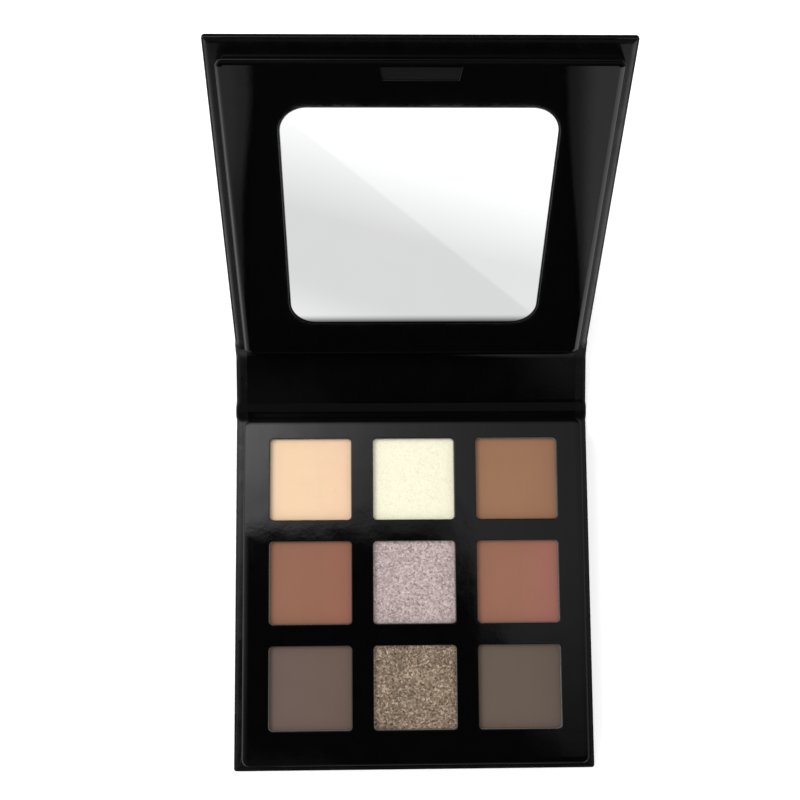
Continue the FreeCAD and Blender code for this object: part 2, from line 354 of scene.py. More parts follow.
def glitter_powder(name, stops, cell, tilt, shine, shade):
    """Pressed shimmer: flakes tilted this way and that, in tones partly their own and partly painted
    sparkle.

    stops are (place, colour) pairs from the darkest flake to the lightest, whose pale tone is
    partly a painted sparkle; cell is a flake's size in metres, tilt is how far flakes lean,
    shine is how metallic the brightest ones are and shade is how dark the slow clouds get.
    """
    material, tree, coords, output = new_material(name)
    middle = (0.5, 0.5, 0.5)
    warp = add_node(tree, "ShaderNodeTexNoise",
                    {"Vector": coords, "Scale": 0.55 / cell, "Detail": 2.0}).outputs["Color"]
    centred = vector_calc(tree, "SUBTRACT", warp, middle)
    shift = vector_calc(tree, "SCALE", centred, scale=cell * 2.2)
    warped = vector_calc(tree, "ADD", coords, shift)
    flakes = add_node(tree, "ShaderNodeTexVoronoi", {"Vector": warped, "Scale": 1.0 / cell})
    pick = add_node(tree, "ShaderNodeSeparateXYZ", {"Vector": flakes.outputs["Color"]})
    blend = calc(tree, "MULTIPLY_ADD", grain(tree, coords, 0.9 / cell, 3.0), 0.9,
                 calc(tree, "MULTIPLY_ADD", pick.outputs["X"], 0.55, -0.22), clamp=True)
    # the ramp's lightest end is partly pale flakes and partly painted sparkle
    tones = add_node(tree, "ShaderNodeValToRGB", {"Fac": blend})
    while len(tones.color_ramp.elements) < len(stops):
        tones.color_ramp.elements.new(0.5)
    for element, (place, colour) in zip(tones.color_ramp.elements, stops):
        element.position = place
        element.color = colour
    clouds = grain(tree, coords, 90.0, 2.0)
    tone = brightened(tree, tones.outputs["Color"],
                      ramp_between(tree, clouds, 0.3, 0.7, shade, 2.0 - shade))
    lean = vector_calc(tree, "SUBTRACT", flakes.outputs["Color"], middle)
    upright = bump(tree, grain(tree, coords, 0.8 / cell, 2.0), cell * 0.12)
    tilted = vector_calc(tree, "ADD", upright, vector_calc(tree, "SCALE", lean, scale=tilt))
    metal = ramp_between(tree, pick.outputs["Y"], 0.55, 0.95, 0.0, shine)
    surface(tree, output, Base_Color=tone, Roughness=0.42, Metallic=metal, IOR=1.5,
            Normal=vector_calc(tree, "NORMALIZE", tilted))
    return material


def grey_board(name):
    """Recycled grey board: soft fibres and flecks."""
    material, tree, coords, output = new_material(name)
    fleck = grain(tree, coords, 1900.0, 4.0, 0.6, 1.5)
    tone = mix_colours(tree, fleck, rgba(0.20, 0.19, 0.17), rgba(0.42, 0.40, 0.36))
    fibre = bump(tree, grain(tree, coords, 1100.0, 4.0, 0.7, 2.0), 3e-5)
    surface(tree, output, Base_Color=tone, Roughness=0.95, Normal=fibre)
    return material


def soft_adhesive(name):
    """Double-sided foam tape: milky, slightly porous."""
    material, tree, coords, output = new_material(name)
    pores = grain(tree, coords, 3000.0, 3.0)
    tone = mix_colours(tree, pores, rgba(0.62, 0.61, 0.56), rgba(0.80, 0.79, 0.74))
    surface(tree, output, Base_Color=tone, Roughness=0.6, Normal=bump(tree, pores, 1e-5))
    return material


def brushed_metal(name, dark, light, rough, along="X"):
    """Rolled or plated sheet: fine streaks along one axis."""
    material, tree, coords, output = new_material(name)
    stretch = {"X": (120.0, 4200.0, 4200.0), "Y": (4200.0, 120.0, 4200.0)}[along]
    streaks = grain(tree, vector_calc(tree, "MULTIPLY", coords, stretch), 1.0, 3.0)
    tone = mix_colours(tree, streaks, rgba(*dark), rgba(*light))
    roughness = ramp_between(tree, streaks, 0.3, 0.7, rough * 0.8, rough * 1.2)
    surface(tree, output, Base_Color=tone, Metallic=1.0, Roughness=roughness,
            Normal=bump(tree, streaks, 2e-6))
    return material


def silvered_glass(name):
    """The mirror's face: silver under clear glass, with the faintest haze of fingerprints."""
    material, tree, coords, output = new_material(name)
    haze = grain(tree, coords, 60.0, 5.0, 0.6, 0.8)
    tone = mix_colours(tree, haze, rgba(0.90, 0.91, 0.91), rgba(0.94, 0.94, 0.94))
    roughness = ramp_between(tree, haze, 0.45, 0.8, 0.004, 0.03)
    surface(tree, output, Base_Color=tone, Metallic=1.0, Roughness=roughness)
    return material


def ground_glass(name):
    """The mirror's ground edge: pale green-grey and frosted."""
    material, tree, coords, output = new_material(name)
    grit = grain(tree, coords, 6000.0, 2.0)
    tone = mix_colours(tree, grit, rgba(0.20, 0.23, 0.22), rgba(0.32, 0.35, 0.34))
    surface(tree, output, Base_Color=tone, Roughness=0.35, IOR=1.5, Normal=bump(tree, grit, 6e-6))
    return material


MATERIALS = {
    "gloss_wrap": gloss_black("wrap_film", (0.0009, 0.0009, 0.0010), (0.0018, 0.0018, 0.0019),
                              1.5e-5, 3.5e-6, 0.22),
    "gloss_lining": gloss_black("lining_film", (0.0008, 0.0008, 0.0009), (0.0016, 0.0016, 0.0017),
                                2.0e-5, 3.0e-6, 0.08),
    "gloss_tray": gloss_black("tray_film", (0.0007, 0.0007, 0.0007), (0.0015, 0.0015, 0.0015),
                              6.0e-5, 4.0e-6, 0.06),
    "gloss_frame": gloss_black("frame_film", (0.0008, 0.0008, 0.0009), (0.0017, 0.0017, 0.0018),
                               4.0e-6, 1.2e-6, 0.022),
    "grey_board": grey_board("grey_board"),
    "adhesive": soft_adhesive("foam_tape"),
    "magnet": brushed_metal("nickel", (0.50, 0.48, 0.44), (0.66, 0.64, 0.60), 0.25),
    "plate_steel": brushed_metal("blackened_steel", (0.020, 0.020, 0.022), (0.036, 0.037, 0.039),
                                 0.42),
    "mirror_glass": silvered_glass("silvered_glass"),
    "pan_metal": brushed_metal("tinplate", (0.60, 0.60, 0.60), (0.76, 0.76, 0.75), 0.30, "Y"),
}

POWDER_LIGHT = 0.74              # the studio shows a powder brighter than its own colour
IVORY_LIGHT = 0.81
MATTE_COLOURS = {
    "powder_peach_cream": ((250, 215, 179), (250, 213, 178)),
    "powder_caramel": ((157, 116, 88), (155, 113, 86)),
    "powder_russet": ((149, 104, 83), (152, 102, 84)),
    "powder_rose_brown": ((154, 106, 86), (159, 104, 92)),
    "powder_dark_taupe": ((107, 90, 82), (106, 88, 79)),
    "powder_taupe": ((103, 89, 78), (100, 86, 77)),
}
for slot_name, (main_colour, far_colour) in MATTE_COLOURS.items():
    MATERIALS[slot_name] = matte_powder(slot_name, from_screen(*main_colour, POWDER_LIGHT),
                                        from_screen(*far_colour, POWDER_LIGHT))

EVEN_STOPS = (0.0, 0.35, 0.7, 1.0)
DARK_STOPS = (0.0, 0.3, 0.6, 1.0)
SHIMMER_LOOKS = {                # light, stops, cell, tilt, shine and shade, then the colours from the darkest flake to the lightest, which is partly painted sparkle
    "powder_ivory_shimmer": ((IVORY_LIGHT, EVEN_STOPS, 4.5e-4, 0.10, 0.15, 0.99),
                             ((232, 228, 194), (250, 245, 214), (253, 249, 224), (255, 254, 240))),
    "powder_lilac_glitter": ((POWDER_LIGHT, DARK_STOPS, 5.0e-4, 0.30, 0.55, 0.95),
                             ((88, 74, 74), (182, 160, 157), (206, 186, 183), (240, 229, 229))),
    "powder_bronze_glitter": ((POWDER_LIGHT, DARK_STOPS, 5.2e-4, 0.30, 0.60, 0.88),
                              ((34, 27, 18), (116, 96, 76), (152, 131, 111), (224, 202, 178))),
}
for slot_name, ((light, stop_places, *settings), flake_and_sparkle_colours) in SHIMMER_LOOKS.items():
    flake_and_sparkle_stops = [(stop_place, from_screen(*colour, light))
                   for stop_place, colour in zip(stop_places, flake_and_sparkle_colours)]
    MATERIALS[slot_name] = glitter_powder(slot_name, flake_and_sparkle_stops, *settings)

GROUND_EDGE = ground_glass("ground_glass_edge")


# ---- Covers: laminated paper wrapped round the boards ----

WRAP_HIGH = box_of("base", "base_wrap")[1]
LINING_LOW, LINING_HIGH = box_of("base", "base_lining")
HALF_WIDTH = WRAP_HIGH.x
BOARD_THICK = WRAP_HIGH.z
LINING_HALF = LINING_HIGH.x
PAPER = LINING_HIGH.z - LINING_LOW.z
BOARD_CORNER = 0.8               # seen from above
LEAST_CORNER = 0.1               # of the rings nearer a board's middle
OPENING_CORNER = 0.3             # of the opening that the lining fills
BOARD_ROLL = 1.8                 # the paper rolls over a board's edge, this far across
BOARD_DROP = 0.7                 # and this far down
FOLD_STEP = 0.07                 # the end's folded strip lies on the sides' strips
LINING_EDGE = 0.07
SEAM = 2.0                       # how far a groove's papers run onto each board


def free_chain(half_width, groove_y, free_y, corner, steps=6):
    """Three free sides of a board, from one end of its groove side to the other."""
    side = 1 if free_y > groove_y else -1
    corner_y = free_y - side * corner
    turn = -90 * side
    left = arc((corner - half_width, corner_y), corner, 180, 180 + turn, steps)
    right = arc((half_width - corner, corner_y), corner, 180 + turn, 180 + 2 * turn, steps)
    return [(-half_width, groove_y)] + left + right + [(half_width, groove_y)]


def board_cover(name, body, groove_y, free_y, lining_y, replaced):
    """The wrap of a board with one groove, folded over on its three free sides."""
    side = 1 if free_y > groove_y else -1
    bm = bmesh.new()

    def chain(inset, z, step=0.0):
        corner = max(BOARD_CORNER - inset, LEAST_CORNER)
        points = free_chain(HALF_WIDTH - inset, groove_y, free_y - side * inset, corner)
        return raised_chain(points, z, step)

    def raised_chain(points, z, step):
        first = len(points) // 4
        last = len(points) - 1 - first
        return [bm.verts.new((x, y, z + (step if first < i < last else 0.0)))
                for i, (x, y) in enumerate(points)]

    edge = edge_steps(BOARD_ROLL, BOARD_DROP)
    chains = [chain(inset, drop) for inset, drop in edge]
    for inset, drop in reversed(edge):
        step = FOLD_STEP * (1 - drop / BOARD_DROP)
        chains.append(chain(inset, BOARD_THICK - drop, step))
    opening = free_chain(LINING_HALF, groove_y, lining_y, OPENING_CORNER)
    chains.append(raised_chain(opening, BOARD_THICK, FOLD_STEP))
    chains.append(raised_chain(opening, BOARD_THICK - PAPER, 0.0))
    chains.append(chain(PAPER, BOARD_THICK - PAPER))
    chains.append(chain(PAPER, PAPER))
    join_all(bm, chains, closed=False)
    bm.faces.new(chains[0])
    bm.faces.new(chains[-1])
    bm.faces.new([c[0] for c in chains] + [c[-1] for c in reversed(chains)])
    piece = finish_piece(name, bm, body, MATERIALS["gloss_wrap"], replaced)
    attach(piece, body)


def sweep(bm, sections):
    """A closed solid through a row of closed sections."""
    rings = [[bm.verts.new(point) for point in section] for section in sections]
    join_all(bm, rings)
    bm.faces.new(rings[0])
    bm.faces.new(rings[-1])


def lining_section():
    """A board's lining, cut across: flat, with its long edges bevelled."""
    top, low = BOARD_THICK, BOARD_THICK - PAPER
    return [(-LINING_HALF, low), (LINING_HALF, low), (LINING_HALF, top - LINING_EDGE),
            (LINING_HALF - LINING_EDGE, top), (LINING_EDGE - LINING_HALF, top),
            (-LINING_HALF, top - LINING_EDGE)]


def spine_wrap_section():
    """The spine's wrap, cut across: out round both ends and back along its inside."""
    edge = edge_steps(BOARD_ROLL, BOARD_DROP)
    right = [(HALF_WIDTH - inset, drop) for inset, drop in edge]
    right += [(HALF_WIDTH - inset, BOARD_THICK - drop) for inset, drop in reversed(edge)]
    right += [(LINING_HALF, BOARD_THICK), (LINING_HALF, BOARD_THICK - PAPER)]
    right += [(HALF_WIDTH - PAPER, BOARD_THICK - PAPER), (HALF_WIDTH - PAPER, PAPER)]
    return right + [(-x, z) for x, z in reversed(right)]


def swept_board_piece(name, body, section, start_y, end_y, replaced, slot):
    """A piece of a board with the same (x, z) section from start_y to end_y."""
    bm = bmesh.new()
    sweep(bm, [[(x, y, z) for x, z in section] for y in (start_y, end_y)])
    piece = finish_piece(name, bm, body, MATERIALS[slot], replaced)
    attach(piece, body)


# ---- Grooves: the papers between two boards, drawn bent at the boards' present lean ----

LOWER_DIP = 1.1                  # how far each groove's lining sinks below the boards' faces
UPPER_DIP = 0.25
LOWER_SWELL = 0.35               # how far each groove's ends stand out in its middle
UPPER_SWELL = -0.25
SWELL_PAST = 0.3                 # and how far past the groove they start to
OUTER_BEND = 1.3                 # how far from the axis the outer paper starts to curve
BEND_STEPS = 14


def channel_half(half_groove, lean, dip, under):
    """Half of a groove's inner profile, from the board to the middle; under is paper depth."""
    start = -half_groove - BOARD_ROLL
    low_z = BOARD_THICK - dip - under
    end = -low_z * math.tan(lean / 2)
    points = [(-half_groove - SEAM, BOARD_THICK - under)]
    for i in range(BEND_STEPS + 1):
        t = i / BEND_STEPS
        sink = dip * t * t * (2 - t)
        points.append((start + (end - start) * t, BOARD_THICK - under - sink))
    return points


def outer_half(half_groove, lean, over):
    """Half of the outer paper's profile: flat, then curved up to the middle of the bend."""
    start = Vector((-OUTER_BEND, over))
    corner = Vector((-over * math.tan(lean / 2), over))
    far = Vector(turned_point((OUTER_BEND, over), lean))
    points = [(-half_groove - SEAM, over), (-half_groove, over)]
    for i in range(BEND_STEPS):
        t = 0.5 * i / (BEND_STEPS - 1)
        point = start * (1 - t) ** 2 + corner * 2 * t * (1 - t) + far * t ** 2
        points.append((point.x, point.y))
    return points


def turned_point(point, lean):
    """A point on the far board, given as (distance from the axis, height), seen from the near one."""
    away, up = point
    return (away * math.cos(lean) - up * math.sin(lean), away * math.sin(lean) + up * math.cos(lean))


def both_halves(half, lean):
    """A groove's whole profile, as the mirror image of its near half about the bend."""
    far = [turned_point((-away, up), lean) for away, up in reversed(half[:-1])]
    return half + far


def groove_pieces(name, near, far, near_end, dip, bulge):
    """The wrap and lining of one groove. near_end is where the near board stops."""
    inverse = PLACES[near].inverted()
    axis_y = (inverse @ PLACES[far].to_translation()).y
    half_groove = axis_y - near_end
    lean = LEANS[far] - LEANS[near]
    channel = both_halves(channel_half(half_groove, lean, dip, 0.0), lean)
    under = both_halves(channel_half(half_groove, lean, dip, PAPER), lean)
    outside = both_halves(outer_half(half_groove, lean, 0.0), lean)
    inside_wrap = both_halves(outer_half(half_groove, lean, PAPER), lean)

    def section(x, top, bottom, keep=1.0, spread=0.0):
        """A closed section at x; keep is how much of its depth stays, spread pushes it out."""
        upper, lower = [], []
        for (y_top, z_top), (y_low, z_low) in zip(top, bottom, strict=True):
            top_point, low_point = Vector((0, y_top, z_top)), Vector((0, y_low, z_low))
            middle = (top_point + low_point) / 2
            swell = max(0.0, 1 - (middle.y / (half_groove + SWELL_PAST)) ** 2)
            out = Vector((x + math.copysign(spread * swell, x), axis_y, 0))
            upper.append(out + middle + (top_point - middle) * keep)
            lower.append(out + middle + (low_point - middle) * keep)
        return upper + lower[::-1]

    fold = [(HALF_WIDTH - inset, 1 - 2 * drop / BOARD_THICK)
            for inset, drop in edge_steps(BOARD_ROLL, BOARD_DROP)]
    left = [section(-x, channel, outside, keep, bulge) for x, keep in reversed(fold)]
    right = [section(x, channel, outside, keep, bulge) for x, keep in fold]
    wrap = left + [section(-LINING_HALF, channel, outside)]
    wrap += [section(-LINING_HALF, inside_wrap, outside), section(LINING_HALF, inside_wrap, outside)]
    wrap += [section(LINING_HALF, channel, outside)] + right
    thin = 1 - 2 * LINING_EDGE / PAPER
    lining = [section(-LINING_HALF, channel, under, thin),
              section(LINING_EDGE - LINING_HALF, channel, under),
              section(LINING_HALF - LINING_EDGE, channel, under),
              section(LINING_HALF, channel, under, thin)]
    for sections, suffix, kind in ((wrap, "cover", "wrap"), (lining, "endpaper", "lining")):
        bm = bmesh.new()
        sweep(bm, sections)
        slot = "gloss_" + kind
        piece = finish_piece(name + "_" + suffix, bm, near, MATERIALS[slot], [name + "_" + kind])
        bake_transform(piece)


CORE_CORNER = 1.0
CORE_FOOT = (1.6, 0.5)           # how far a board's lower edge is rounded, across and up
CORE_HEAD = (1.8, 1.0)           # and its upper edge, across and down


def board_core(body):
    """The grey board inside a cover, its edges pressed round as they are under the paper."""
    low, high = box_of(body, body + "_board")
    bm = bmesh.new()
    levels = [(inset, low.z + rise) for inset, rise in edge_steps(*CORE_FOOT)]
    levels += [(inset, high.z - drop) for inset, drop in reversed(edge_steps(*CORE_HEAD))]
    rings = [add_ring(bm, rounded_outline(*grown(low, high, -inset), CORE_CORNER), z)
             for inset, z in levels]
    join_all(bm, rings)
    bm.faces.new(rings[0])
    bm.faces.new(rings[-1])
    piece = finish_piece(body + "_core", bm, body, MATERIALS["grey_board"], [body + "_board"])
    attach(piece, body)


def build_covers():
    base_low, base_high = box_of("base", "base_wrap")
    base_gap = box_of("base", "base_lining")[0].y
    spine_low, spine_high = box_of("spine", "spine_wrap")
    lid_low, lid_high = box_of("lid", "lid_wrap")
    lid_gap = box_of("lid", "lid_lining")[1].y
    board_cover("base_cover", "base", base_high.y - SEAM, base_low.y, base_gap, ["base_wrap"])
    board_cover("lid_cover", "lid", lid_low.y + SEAM, lid_high.y, lid_gap, ["lid_wrap"])
    swept_board_piece("spine_cover", "spine", spine_wrap_section(), spine_low.y + SEAM,
                      spine_high.y - SEAM, ["spine_wrap"], "gloss_wrap")
    for body, start_y, end_y in (("base", base_gap, base_high.y - SEAM),
                                 ("spine", spine_low.y + SEAM, spine_high.y - SEAM),
                                 ("lid", lid_low.y + SEAM, lid_gap)):
        swept_board_piece(body + "_endpaper", body, lining_section(), start_y, end_y,
                          [body + "_lining"], "gloss_lining")
    groove_pieces("lower_groove", "base", "spine", base_high.y, LOWER_DIP, LOWER_SWELL)
    groove_pieces("upper_groove", "spine", "lid", spine_high.y, UPPER_DIP, UPPER_SWELL)
    for body in PLACES:
        board_core(body)


# ---- Tray ----

BLOCK_CORNER = 2.2               # of the tray and the mirror's frame, seen from above
TRAY_ROLL = (2.0, 0.5)           # the wrap rolls over the tray's edge, across and down
FRAME_ROLL = (1.6, 0.45)
WALL_GAP = 0.05                  # between the tray's wall and the card inside it
RIM_EDGE = 0.22                  # rounding of the die-cut rims
WINDOW_CORNER = 1.2
ROWS = ("back", "middle", "front")
COLUMNS = ("left", "centre", "right")
PLACES_IN_TRAY = [row + "_" + column for row in ROWS for column in COLUMNS]


def rising_wall(bm, low, high, corner, bottom_z, face_z, across, down):
    """Rings up an outer wall and over its rounded edge; returns them from the bottom up."""
    rings = [add_ring(bm, rounded_outline(low, high, corner), bottom_z)]
    for inset, drop in reversed(edge_steps(across, down)):
        outline = rounded_outline(*grown(low, high, -inset), corner - inset)
        rings.append(add_ring(bm, outline, face_z - drop))
    join_all(bm, rings)
    return rings


def rim_down(bm, low, high, corner, face_z, bottom_z):
    """Rings down into an opening, over its rounded rim; returns them from the top down."""
    rings = []
    for inset, drop in edge_steps(RIM_EDGE, RIM_EDGE):
        outline = rounded_outline(*grown(low, high, inset), corner + inset)
        rings.append(add_ring(bm, outline, face_z - drop))
    rings.append(add_ring(bm, rounded_outline(low, high, corner), bottom_z))
    join_all(bm, rings)
    return rings


def build_tray():
    low, high = box_of("base", "tray_cover")
    shelf_z = box_of("base", "pan_holder")[1].z
    card_low = box_of("base", "tray_base_card")[0]
    bm = bmesh.new()
    outer = rising_wall(bm, low, high, BLOCK_CORNER, low.z, high.z, *TRAY_ROLL)
    windows = []
    for place in PLACES_IN_TRAY:
        window = box_of("base", "powder_" + place)
        windows.append(rim_down(bm, *window, WINDOW_CORNER, high.z, shelf_z))
    fill_between(bm, outer[-1], [rings[0] for rings in windows])
    wall = card_low.x - low.x - WALL_GAP
    inner = rounded_outline(*grown(low, high, -wall), BLOCK_CORNER - wall)
    ceiling = add_ring(bm, inner, shelf_z)
    foot = add_ring(bm, inner, low.z)
    join_rings(bm, ceiling, foot)
    join_rings(bm, foot, outer[0])
    fill_between(bm, ceiling, [rings[-1] for rings in windows])
    piece = finish_piece("tray_shell", bm, "base", MATERIALS["gloss_tray"], ["tray_cover"])
    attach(piece, "base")


# ---- Powders ----

CAKE_EDGE = 0.3                  # rounding of a cake's upper edge
CAKE_GRID = 0.55                 # spacing of the points on a cake's face
CAKE_CORNER = 1.2
CORNER_RADIUS = 1.3              # near a cake's corner, points stay this close to a centre
CORNER_IN = 2.0                  # that lies this far in from both sides
CROWN = 0.10                     # a cake stands this much higher in its middle
MATTE_ROUGH = (0.012, 0.35)      # height, and waves per millimetre
SHIMMER_ROUGH = (0.035, 0.9)
SHIMMERS = ("back_centre", "middle_centre", "front_centre")
SEED_STEP = 7.3                  # apart in the noise, so that no two cakes are alike


def build_powder(place, seed):
    low, high = box_of("base", "powder_" + place)
    centre = (low + high) / 2
    half = (high - low) / 2
    depth, waves = SHIMMER_ROUGH if place in SHIMMERS else MATTE_ROUGH
    face_z = high.z - depth
    bm = bmesh.new()
    rings = rising_wall(bm, low, high, CAKE_CORNER, low.z, face_z, CAKE_EDGE, CAKE_EDGE)
    bm.faces.new(rings[0])
    margin = CAKE_EDGE + CAKE_GRID
    count = int(2 * (half.x - margin) / CAKE_GRID)
    inner = []
    for i in range(count + 1):
        for j in range(count + 1):
            x = centre.x + (2 * i / count - 1) * (half.x - margin)
            y = centre.y + (2 * j / count - 1) * (half.y - margin)
            past_x = max(abs(x - centre.x) - half.x + CORNER_IN, 0)
            past_y = max(abs(y - centre.y) - half.y + CORNER_IN, 0)
            if math.hypot(past_x, past_y) > CORNER_RADIUS:
                continue
            rim = (1 - ((x - centre.x) / half.x) ** 2) * (1 - ((y - centre.y) / half.y) ** 2)
            rough = noise.noise(Vector((x * waves, y * waves, seed * SEED_STEP))) * depth
            inner.append(bm.verts.new((x, y, face_z + CROWN * rim + rough)))
    fill_between(bm, rings[-1], [], inner)
    slot = slot_of("powder_" + place)
    piece = finish_piece("cake_" + place, bm, "base", MATERIALS[slot], ["powder_" + place],
                         sharp_angle=80.0)
    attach(piece, "base")


# ---- Mirror frame, mirror and closure plate ----

MIRROR_CORNER = 7.6
ARRIS = 0.15                     # ground bevel round the mirror
MIRROR_GAP = 0.3                 # between the mirror and the frame's opening
PLATE_BEVEL = 0.12
PLATE_GAP = 0.1
PLATE_LIP = 0.06                 # bevel round the plate's recess
PLATE_TAPER = 0.7                # how far each end of the plate leans in


def plate_outline(low, high, by):
    """The closure plate seen from inside the lid: a shallow trapezoid."""
    short = PLATE_TAPER
    return [(high.x + by, high.y + by), (low.x - by, high.y + by),
            (low.x + short - by, low.y - by), (high.x - short + by, low.y - by)]


def build_lid_parts():
    low, high = box_of("lid", "mirror_frame")
    glass_low, glass_high = box_of("lid", "mirror")
    plate_low, plate_high = box_of("lid", "closure_plate")
    bm = bmesh.new()
    outer = rising_wall(bm, low, high, BLOCK_CORNER, low.z, high.z, *FRAME_ROLL)
    opening = rim_down(bm, *grown(glass_low, glass_high, MIRROR_GAP), MIRROR_CORNER + MIRROR_GAP,
                       high.z, low.z)
    recess = [add_ring(bm, plate_outline(plate_low, plate_high, PLATE_GAP + lip), z)
              for lip, z in ((PLATE_LIP, high.z), (0.0, high.z - PLATE_LIP), (0.0, plate_low.z))]
    join_all(bm, recess)
    bm.faces.new(recess[-1])
    fill_between(bm, outer[-1], [opening[0], recess[0]])
    fill_between(bm, outer[0], [opening[-1]])
    piece = finish_piece("mirror_surround", bm, "lid", MATERIALS["gloss_frame"], ["mirror_frame"])
    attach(piece, "lid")

    bm = bmesh.new()
    rings = [add_ring(bm, rounded_outline(*grown(glass_low, glass_high, -inset),
                                          MIRROR_CORNER - inset, 16), z)
             for inset, z in ((ARRIS, glass_low.z), (0.0, glass_low.z + ARRIS),
                              (0.0, glass_high.z - ARRIS), (ARRIS, glass_high.z))]
    join_all(bm, rings)
    bm.faces.new(rings[0])
    face = bm.faces.new(rings[-1])
    for side_face in bm.faces:
        side_face.material_index = 0 if side_face is face else 1
    piece = finish_piece("mirror_plate", bm, "lid", MATERIALS["mirror_glass"], ["mirror"],
                         sharp_angle=20.0)
    piece.data.materials.append(GROUND_EDGE)
    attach(piece, "lid")

    bm = bmesh.new()
    rings = [add_ring(bm, plate_outline(plate_low, plate_high, -inset), z)
             for inset, z in ((0.0, plate_low.z), (0.0, plate_high.z - PLATE_BEVEL),
                              (PLATE_BEVEL, plate_high.z))]
    join_all(bm, rings)
    bm.faces.new(rings[0])
    bm.faces.new(rings[-1])
    piece = finish_piece("closure_strip", bm, "lid", MATERIALS["plate_steel"], ["closure_plate"])
    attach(piece, "lid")


# ---- Put the object together ----

def slot_of(node):
    return next(row["material_slot"] for row in frame["record"]["subparts"] if row["node"] == node)


def dress_kept_nodes():
    """CAD nodes that still show take the material of their slot."""
    for name, node in frame["nodes"].items():
        if not node.hide_render:
            node.data.materials.clear()
            node.data.materials.append(MATERIALS[slot_of(name)])


def keep_gloss_clear():
    """The tray leaves no image in the mirror and the glossy lid, nor the mirror in the tray."""
    for piece in bpy.data.objects:
        if piece.name.startswith(("base_", "tray_", "pan_", "cake_", "closure_magnet", "mirror_")):
            piece.visible_glossy = piece.name == "mirror_surround"


build_covers()
build_tray()
for number, tray_place in enumerate(PLACES_IN_TRAY):
    build_powder(tray_place, number)
build_lid_parts()
dress_kept_nodes()
keep_gloss_clear()


# ---- Studio: floor, reflectors, light, camera ----

FLOOR_HALF = 4000

scene = bpy.context.scene
scene.view_settings.view_transform = "Standard"


def add_object(name, data):
    made = bpy.data.objects.new(name, data)
    scene.collection.objects.link(made)
    return made


def level_square(half, z):
    return [(-half, -half, z), (half, -half, z), (half, half, z), (-half, half, z)]


def flat_polygon(name, corners):
    """A one-face piece of the studio, with its corners given in millimetres."""
    mesh = bpy.data.meshes.new(name)
    mesh.from_pydata([Vector(corner) * MM for corner in corners], [], [range(len(corners))])
    polygon = add_object(name, mesh)
    return polygon


def build_floor():
    floor = flat_polygon("floor", level_square(FLOOR_HALF, 0))
    material, tree, coords, output = new_material("pale_floor")
    tone = mix_colours(tree, grain(tree, coords, 3.0), rgba(0.86, 0.86, 0.86),
                       rgba(0.90, 0.90, 0.90))
    surface(tree, output, Base_Color=tone, Roughness=0.9, Specular_IOR_Level=0.1,
            Emission_Color=rgba(1, 1, 1), Emission_Strength=0.30)
    floor.data.materials.append(material)
    floor.visible_glossy = False


def reflector(name, corners, paint):
    """A lit card that only shows in reflections. paint(tree, x, y, z) gives its brightness."""
    card = flat_polygon(name, corners)
    material, tree, coords, output = new_material(name)
    in_mm = vector_calc(tree, "SCALE", coords, scale=1 / MM)
    axes = add_node(tree, "ShaderNodeSeparateXYZ", {"Vector": in_mm}).outputs
    strength = paint(tree, axes["X"], axes["Y"], axes["Z"])
    glow = add_node(tree, "ShaderNodeEmission", {"Strength": strength})
    tree.links.new(glow.outputs[0], output.inputs["Surface"])
    card.data.materials.append(material)
    for ray in ("camera", "diffuse", "shadow", "transmission", "volume_scatter"):
        setattr(card, "visible_" + ray, False)


# Places on the cards are in millimetres, like the pieces. In the paint functions the first
# two numbers of a ramp are the places where it starts and ends, and the rest are strengths.

CAMERA_SPOT = Vector((-13.87, 11.58, 398.63))
CAMERA_TURN = (7.036, -1.408, -0.438)    # degrees
CARD_OUTER = 800                         # how far the cards go to the sides
OVERHEAD_Z = 900                         # height of the overhead card
FRONT_Y = -700                           # the three front cards stand here
LEFT_EDGE = ((-131, 8), (-120, 152))     # x and z of each side card's inner edge
RIGHT_EDGE = ((187, -84), (167, 158))
CARD_REACH = (-300, 163)                 # and how low and how high both cards go
CARD_HEIGHTS = (-84, 158)                # where their soft edges are narrowest and widest
CARD_MARGIN = 6                          # of card past the edge, for the soft edge
FALL_START = -130                        # the overhead card's light falls off from here
FALL_LENGTH = 90                         # to the right, by a factor e over this length


def seen_in_mirror(point):
    """Where the camera sees a point of the mirror's face reflect the front cards."""
    spot = PLACES["lid"] @ Vector(point) / MM
    face = (PLACES["lid"].to_3x3() @ Vector((0, 0, 1))).normalized()
    onward = (spot - CAMERA_SPOT).reflect(face)
    return spot + onward * ((FRONT_Y - spot.y) / onward.y)


def paint_overhead(tree, x, y, z):
    """Bright to the left and the back, falling off to the right, dark at the far front."""
    falling = calc(tree, "EXPONENT", calc(tree, "MULTIPLY_ADD", x, -1 / FALL_LENGTH,
                                          FALL_START / FALL_LENGTH))
    bright = calc(tree, "MULTIPLY_ADD", calc(tree, "MINIMUM", falling, 0.95), 2.2, 0.33)
    bright = calc(tree, "MULTIPLY", bright, ramp_between(tree, y, 140, 520, 1.0, 0.02))
    behind = calc(tree, "MULTIPLY", ramp_between(tree, y, 22, 56),
                  ramp_between(tree, y, 30, 150, 0.62, 1.0))
    skewed = calc(tree, "MULTIPLY_ADD", y, 0.45, x)
    right = calc(tree, "MULTIPLY", ramp_between(tree, skewed, 62, 112),
                 ramp_between(tree, y, -260, 40, 0.15, 1.0))
    right = calc(tree, "MULTIPLY", right, ramp_between(tree, y, -230, -190))
    patch = calc(tree, "MULTIPLY", bright, calc(tree, "MAXIMUM", behind, right))
    side = calc(tree, "MAXIMUM", calc(tree, "MULTIPLY_ADD", x, -0.001, -0.17), 0.0)
    side = calc(tree, "MULTIPLY", side, ramp_between(tree, y, -260, -20, 0.2, 1.0))
    front = calc(tree, "MULTIPLY", ramp_between(tree, y, -186, -198), ramp_between(tree, x, -30, -90))
    side = calc(tree, "MULTIPLY_ADD", front, 0.05, side)
    return calc(tree, "MAXIMUM", patch, side)


